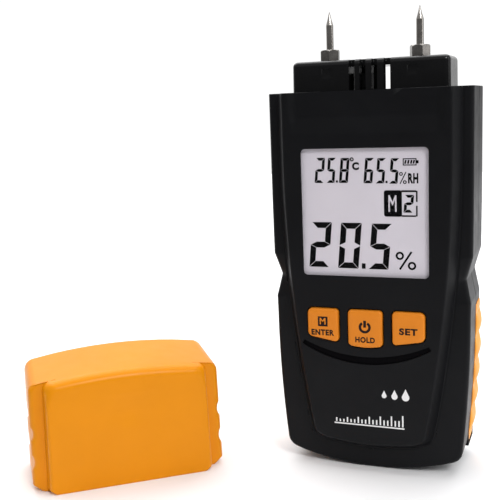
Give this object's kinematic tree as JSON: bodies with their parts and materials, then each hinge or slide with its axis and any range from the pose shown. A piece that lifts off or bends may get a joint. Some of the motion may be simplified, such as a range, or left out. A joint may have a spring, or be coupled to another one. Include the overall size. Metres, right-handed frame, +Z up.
{
  "type": "pin-type moisture meter",
  "caption": "Handheld pin-type moisture meter with a display, press buttons, ribbed side grips, ground steel pins and a push-on cap standing beside it.",
  "frame": {"origin": "middle of the flat on the meter's foot, level with the pins from front to back", "axes": "+X to the right across the meter, +Y to its back, +Z up its length towards the pins"},
  "size_m": [0.1405, 0.0732, 0.1424],
  "materials": {
    "case_black": "fine moulded texture",
    "head_black": "smooth gloss",
    "orange_grip": "satin soft-touch",
    "button_orange": "satin with black legends",
    "cap_orange": "smooth gloss",
    "clear_lens": "clear acrylic",
    "lcd_face": "grey liquid crystal with black segments",
    "white_plastic": "matt white",
    "silicone": "matt",
    "board_green": "solder mask",
    "screw_steel": "zinc plated",
    "chip_black": "matt",
    "bright_metal": "nickel plated",
    "capacitor_sleeve": "shrink sleeve",
    "seal_rubber": "matt",
    "brass": "turned",
    "wire_red": "insulated wire",
    "pin_steel": "polished and ground",
    "nut_steel": "nickel plated",
    "cell_wrap": "plain printed wrap"
  },
  "bodies": {
    "meter": {"front_shell": "case_black", "rear_shell": "case_black", "left_grip": "orange_grip", "right_grip": "orange_grip", "display_lens": "clear_lens", "lcd_glass": "lcd_face", "lcd_frame": "white_plastic", "zebra_strip": "silicone", "circuit_board": "board_green", "sensor_board": "board_green", "board_screws": "screw_steel", "case_screws": "screw_steel", "main_chip": "chip_black", "buzzer": "chip_black", "sensor_header": "chip_black", "humidity_sensor": "chip_black", "key_switches": "chip_black", "crystal": "bright_metal", "capacitors": "capacitor_sleeve", "probe_head": "head_black", "head_seal": "seal_rubber", "electrode_sockets": "brass", "electrode_wires": "wire_red", "battery_leads": "wire_red", "left_pin": "pin_steel", "right_pin": "pin_steel", "pin_nuts": "nut_steel", "battery_cells": "cell_wrap", "battery_springs": "bright_metal", "battery_contacts": "bright_metal"},
    "enter_key": {"enter_button": "button_orange"},
    "hold_key": {"hold_button": "button_orange"},
    "set_key": {"set_button": "button_orange"},
    "battery_door": {"battery_cover": "case_black"},
    "loose_cap": {"cap": "cap_orange"}
  },
  "joints": [
    {"name": "enter_press", "type": "slide", "parent": "meter", "child": "enter_key", "axis": [0, 1, 0], "range_m": [0, 0.0007], "stiffness_N_per_m": 1500, "springref_m": -0.0002},
    {"name": "hold_press", "type": "slide", "parent": "meter", "child": "hold_key", "axis": [0, 1, 0], "range_m": [0, 0.0007], "stiffness_N_per_m": 1500, "springref_m": -0.0002},
    {"name": "set_press", "type": "slide", "parent": "meter", "child": "set_key", "axis": [0, 1, 0], "range_m": [0, 0.0007], "stiffness_N_per_m": 1500, "springref_m": -0.0002},
    {"name": "cover_swing", "type": "hinge", "parent": "meter", "child": "battery_door", "pos_m": [0, 0.0139, 0.012], "axis": [-1, 0, 0], "range_deg": [0, 90]},
    {"name": "cap_lift", "type": "slide", "parent": "meter", "child": "loose_cap", "axis": [0, 0, 1], "range_m": [0, 0.045]}
  ]
}
